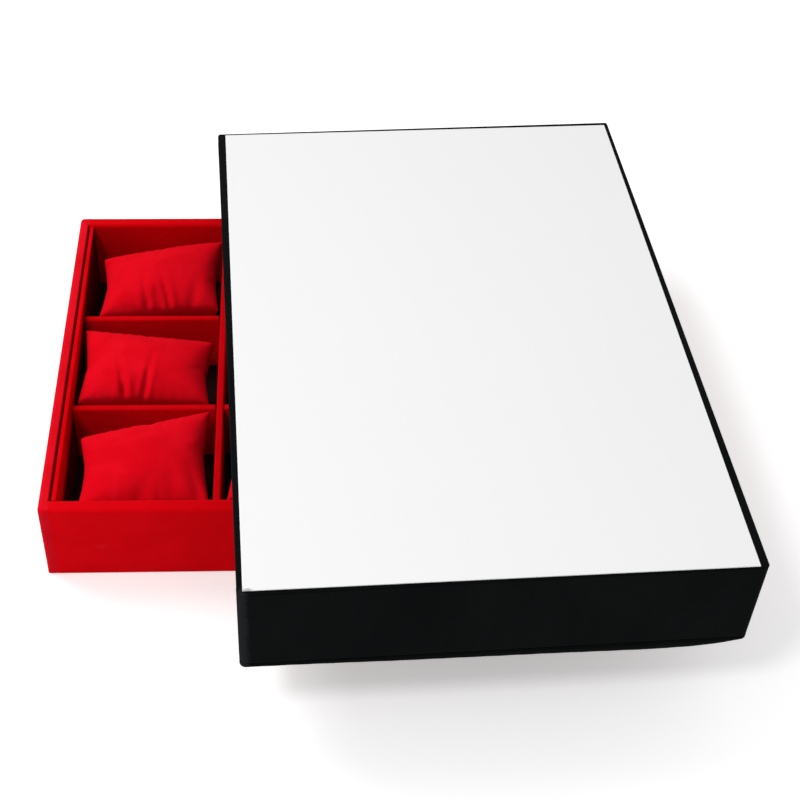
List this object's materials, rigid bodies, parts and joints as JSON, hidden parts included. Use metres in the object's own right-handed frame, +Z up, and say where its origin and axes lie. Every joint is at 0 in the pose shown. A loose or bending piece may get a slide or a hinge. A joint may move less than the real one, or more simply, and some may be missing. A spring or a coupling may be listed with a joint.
{
  "type": "watch display tray",
  "caption": "Shallow velvet tray divided into cells, each with a watch pillow, and a box-shaped cover resting crosswise on its rim.",
  "frame": {"origin": "centre of the tray's underside, on the surface it stands on", "axes": "+X along the tray's length to the right, +Y along its depth from front to back, +Z up"},
  "size_m": [0.344, 0.3603, 0.1022],
  "materials": {
    "velvet": "short-pile red flocked velvet wrapped over board",
    "pillow_velvet": "soft red velvet over stuffing",
    "floor_lining": "near-black lining",
    "base_board": "dark fibreboard",
    "cover_velvet": "short-pile black flocked velvet wrapped over fibreboard",
    "white_sheet": "smooth white sheet"
  },
  "bodies": {
    "root": {"tray_left_wall": "velvet", "tray_right_wall": "velvet", "tray_front_wall": "velvet", "tray_back_wall": "velvet", "tray_left_liner": "velvet", "tray_right_liner": "velvet", "tray_base_board": "base_board", "tray_floor_lining": "floor_lining", "long_divider_1": "velvet", "long_divider_2": "velvet", "cross_divider_1": "velvet", "cross_divider_2": "velvet", "cross_divider_3": "velvet", "pillow_column_1_row_1": "pillow_velvet", "pillow_column_1_row_2": "pillow_velvet", "pillow_column_1_row_3": "pillow_velvet", "pillow_column_2_row_1": "pillow_velvet", "pillow_column_2_row_2": "pillow_velvet", "pillow_column_2_row_3": "pillow_velvet", "pillow_column_3_row_1": "pillow_velvet", "pillow_column_3_row_2": "pillow_velvet", "pillow_column_3_row_3": "pillow_velvet", "pillow_column_4_row_1": "pillow_velvet", "pillow_column_4_row_2": "pillow_velvet", "pillow_column_4_row_3": "pillow_velvet", "cover_left_board": "cover_velvet", "cover_right_board": "cover_velvet", "cover_front_board": "cover_velvet", "cover_back_board": "cover_velvet", "cover_top_board": "cover_velvet", "cover_white_sheet": "white_sheet"}
  },
  "joints": []
}
